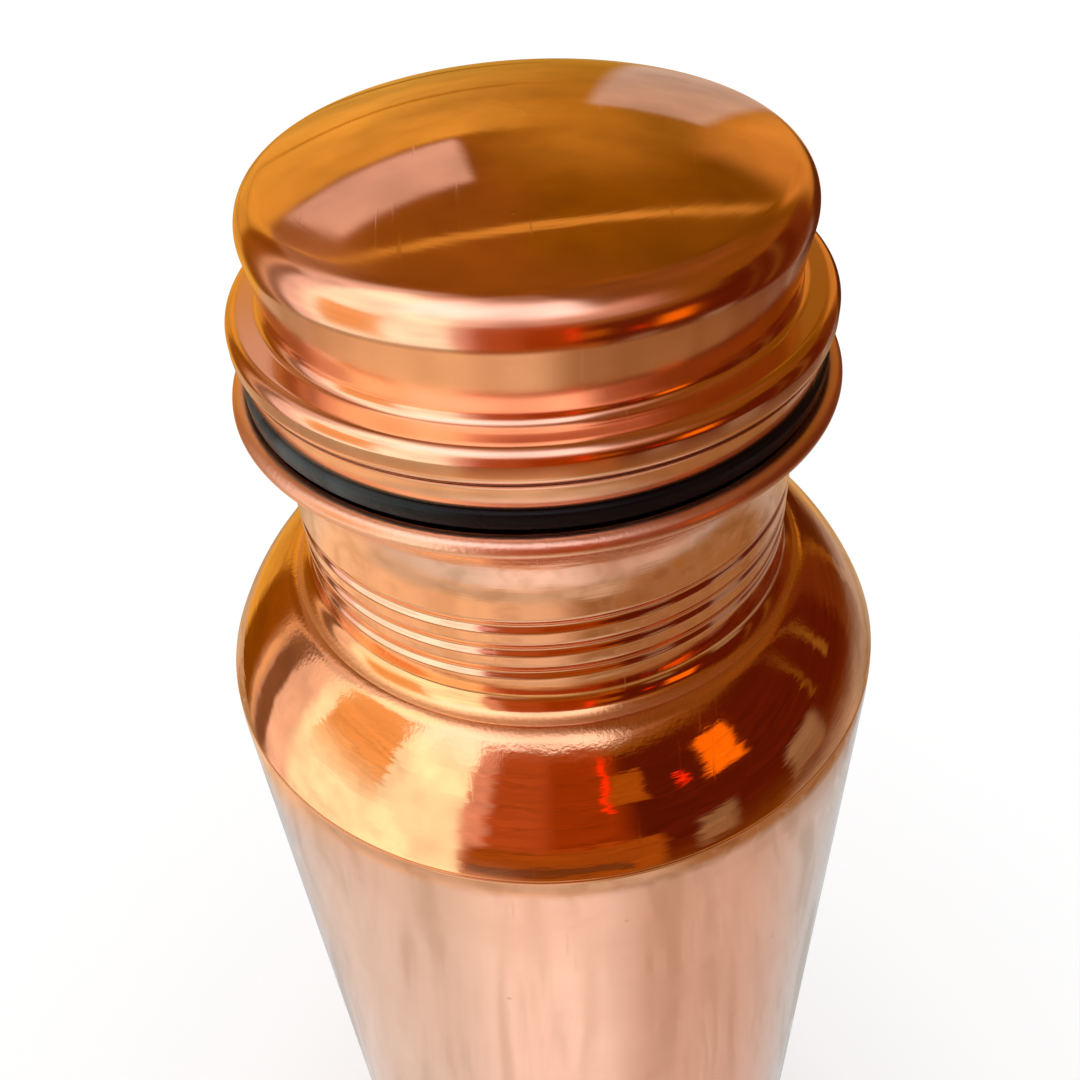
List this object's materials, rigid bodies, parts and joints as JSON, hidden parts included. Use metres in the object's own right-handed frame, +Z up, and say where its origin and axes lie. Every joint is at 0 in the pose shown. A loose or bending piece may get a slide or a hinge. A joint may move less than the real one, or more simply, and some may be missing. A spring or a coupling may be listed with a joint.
{
  "type": "copper water bottle",
  "caption": "Tall round sheet-copper water bottle with a domed screw cap, a black sealing ring, a flared rolled mouth, a threaded neck and a rounded shoulder.",
  "frame": {"origin": "centre of the foot, on the surface the bottle stands on", "axes": "+Z up along the bottle's axis, through the mouth and the cap; X and Y are alike"},
  "size_m": [0.073, 0.073, 0.2636],
  "materials": {
    "copper": "polished copper with fine turning lines",
    "black_rubber": "smooth, slightly glossy"
  },
  "bodies": {
    "bottle": {"body_wall": "copper", "base_disc": "copper", "shoulder": "copper", "neck": "copper"},
    "ring": {"gasket": "black_rubber"},
    "cap": {"cap_cover": "copper", "cap_plug": "copper", "plug_disc": "copper"}
  },
  "joints": [
    {"name": "cap_rise", "type": "slide", "parent": "bottle", "child": "ring", "axis": [0, 0, 1], "range_m": [0, 0.0362]},
    {"name": "cap_turn", "type": "hinge", "parent": "ring", "child": "cap", "pos_m": [0, 0, 0.24], "axis": [0, 0, 1], "range_deg": [0, 4320]}
  ],
  "couplings": [
    {"joint": "cap_rise", "follows": "cap_turn", "m_per_rad": 0.00047746}
  ]
}
